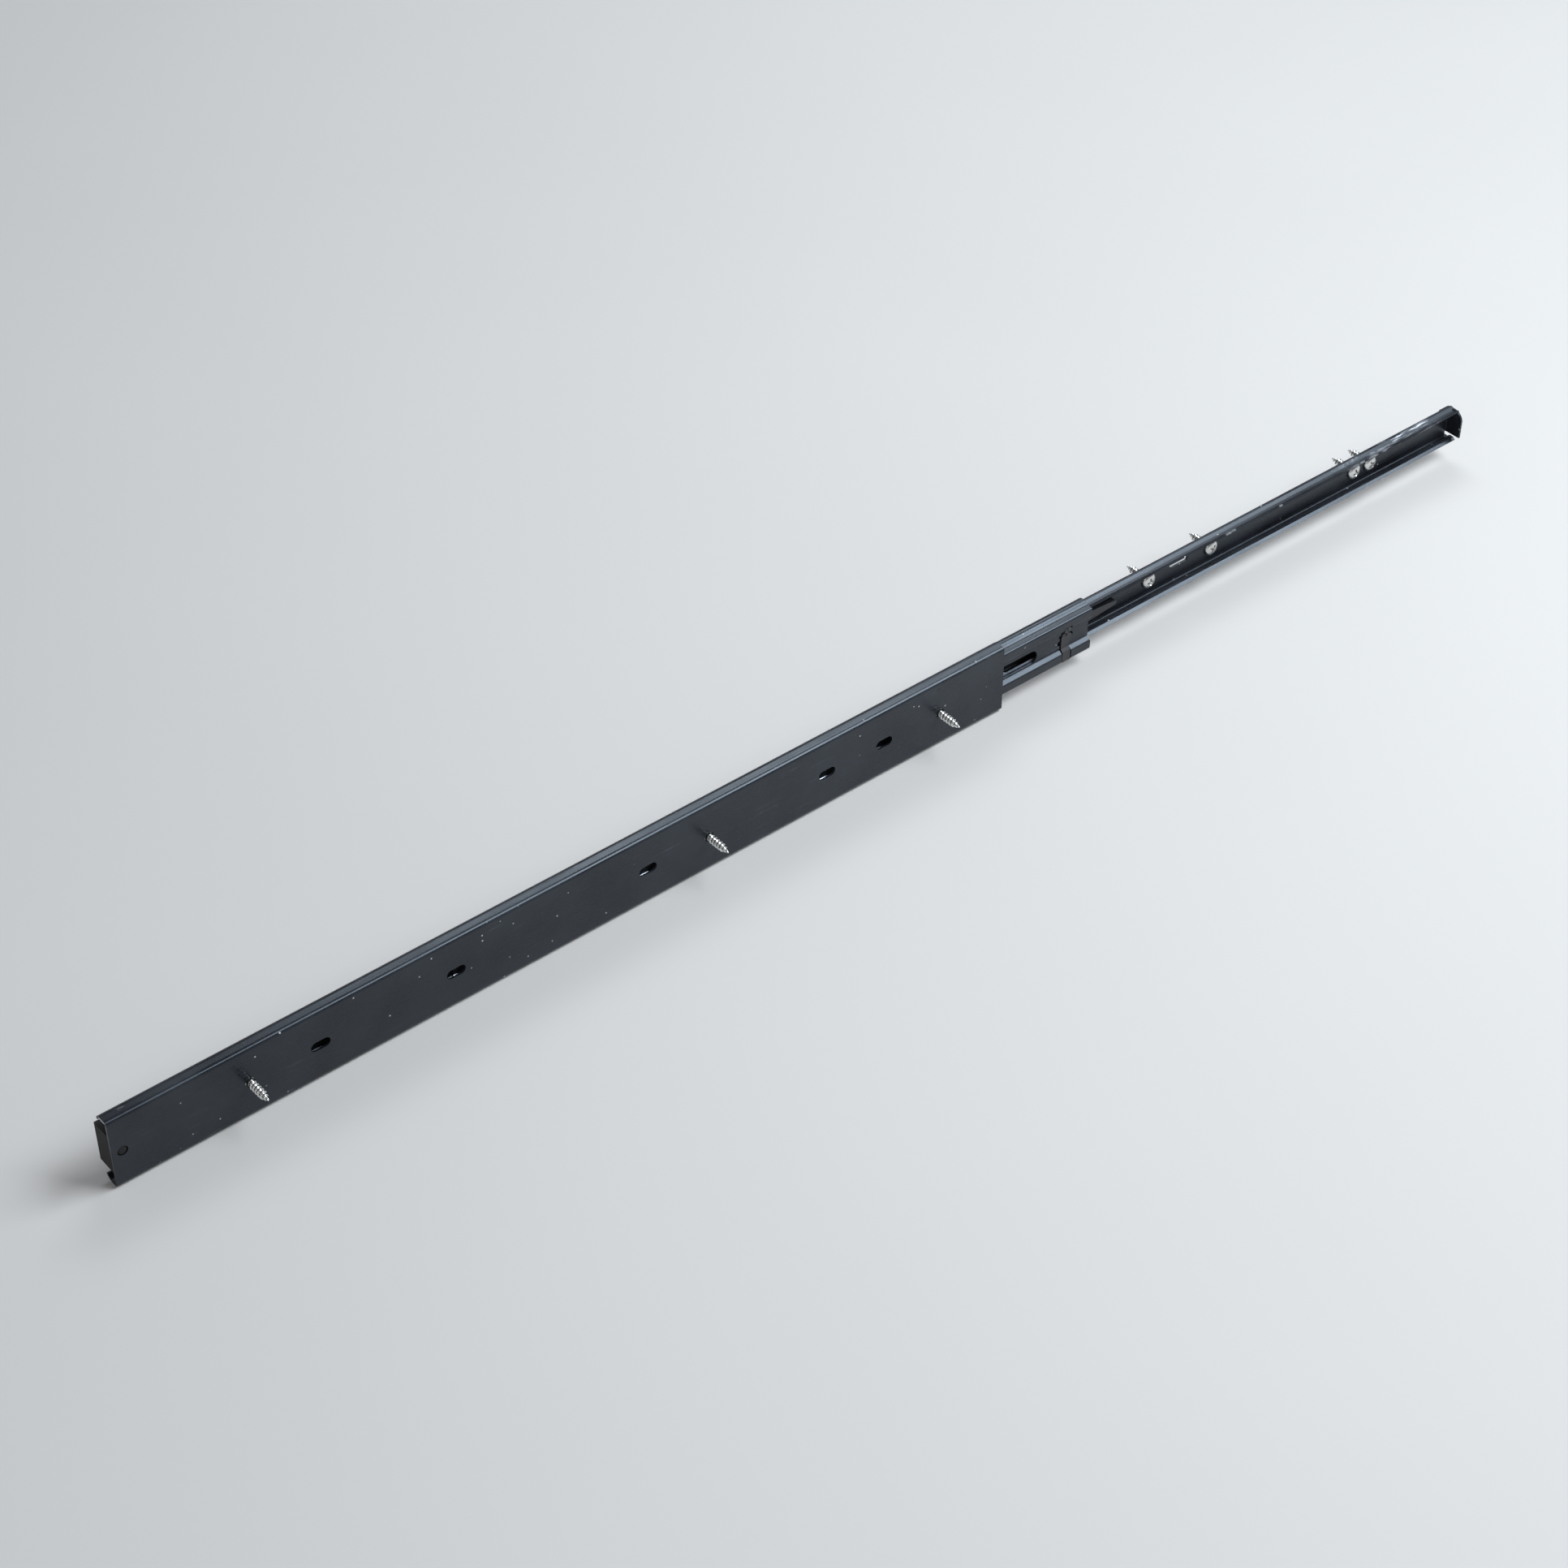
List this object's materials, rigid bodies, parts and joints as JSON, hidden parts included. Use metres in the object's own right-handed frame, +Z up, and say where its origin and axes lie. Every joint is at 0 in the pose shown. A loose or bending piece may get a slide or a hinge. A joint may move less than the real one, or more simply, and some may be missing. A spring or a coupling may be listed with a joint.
{
  "type": "cabinet drawer slide",
  "caption": "Full-extension side-mount ball-bearing drawer slide: nested bent-steel channels on caged balls, black, shown most of the way out.",
  "frame": {"origin": "middle of the cabinet channel's mounting face, where it lies against the cabinet wall", "axes": "+X the way the drawer pulls out, +Z up, +Y from the cabinet wall to the drawer side"},
  "size_m": [0.753, 0.0385, 0.035],
  "materials": {
    "channel_black": "semi-gloss black electro-coat on cold-rolled steel",
    "zinc_plate": "bright zinc plate",
    "bright_steel": "polished ball steel",
    "plated_screw": "nickel plate",
    "black_plastic": "satin moulded plastic",
    "black_rubber": "matt moulded rubber"
  },
  "bodies": {
    "outer_member": {"outer_channel": "channel_black", "rear_bumper": "black_rubber", "cabinet_screw_1": "plated_screw", "cabinet_screw_2": "plated_screw", "cabinet_screw_3": "plated_screw"},
    "intermediate_member": {"intermediate_channel": "channel_black", "front_clip": "black_plastic"},
    "inner_member": {"inner_channel": "channel_black", "lever_rivet": "plated_screw", "drawer_screw_1": "plated_screw", "drawer_screw_2": "plated_screw", "drawer_screw_3": "plated_screw", "drawer_screw_4": "plated_screw"},
    "release_lever": {"release_lever": "black_plastic"},
    "outer_cage": {"outer_cage": "zinc_plate", "outer_ball_upper_1": "bright_steel", "outer_ball_upper_2": "bright_steel", "outer_ball_upper_3": "bright_steel", "outer_ball_upper_4": "bright_steel", "outer_ball_upper_5": "bright_steel", "outer_ball_upper_6": "bright_steel", "outer_ball_upper_7": "bright_steel", "outer_ball_upper_8": "bright_steel", "outer_ball_upper_9": "bright_steel", "outer_ball_lower_1": "bright_steel", "outer_ball_lower_2": "bright_steel", "outer_ball_lower_3": "bright_steel", "outer_ball_lower_4": "bright_steel", "outer_ball_lower_5": "bright_steel", "outer_ball_lower_6": "bright_steel", "outer_ball_lower_7": "bright_steel", "outer_ball_lower_8": "bright_steel", "outer_ball_lower_9": "bright_steel"},
    "inner_cage": {"inner_cage": "zinc_plate", "inner_ball_upper_1": "bright_steel", "inner_ball_upper_2": "bright_steel", "inner_ball_upper_3": "bright_steel", "inner_ball_upper_4": "bright_steel", "inner_ball_upper_5": "bright_steel", "inner_ball_upper_6": "bright_steel", "inner_ball_upper_7": "bright_steel", "inner_ball_upper_8": "bright_steel", "inner_ball_upper_9": "bright_steel", "inner_ball_lower_1": "bright_steel", "inner_ball_lower_2": "bright_steel", "inner_ball_lower_3": "bright_steel", "inner_ball_lower_4": "bright_steel", "inner_ball_lower_5": "bright_steel", "inner_ball_lower_6": "bright_steel", "inner_ball_lower_7": "bright_steel", "inner_ball_lower_8": "bright_steel", "inner_ball_lower_9": "bright_steel"}
  },
  "joints": [
    {"name": "intermediate_slide", "type": "slide", "parent": "outer_member", "child": "intermediate_member", "axis": [1, 0, 0], "range_m": [-0.055, 0.147]},
    {"name": "inner_slide", "type": "slide", "parent": "intermediate_member", "child": "inner_member", "axis": [1, 0, 0], "range_m": [-0.2465, 0]},
    {"name": "outer_cage_slide", "type": "slide", "parent": "outer_member", "child": "outer_cage", "axis": [1, 0, 0], "range_m": [-0.028, 0.074]},
    {"name": "inner_cage_slide", "type": "slide", "parent": "intermediate_member", "child": "inner_cage", "axis": [1, 0, 0], "range_m": [-0.124, 0]},
    {"name": "release_lever_pivot", "type": "hinge", "parent": "inner_member", "child": "release_lever", "pos_m": [0.24, 0.0103, 0], "axis": [0, 1, 0], "range_deg": [-2.5, 2.5], "stiffness_Nm_per_rad": 0.2}
  ],
  "couplings": [
    {"joint": "outer_cage_slide", "follows": "intermediate_slide", "ratio": 0.5},
    {"joint": "inner_cage_slide", "follows": "inner_slide", "ratio": 0.5}
  ]
}
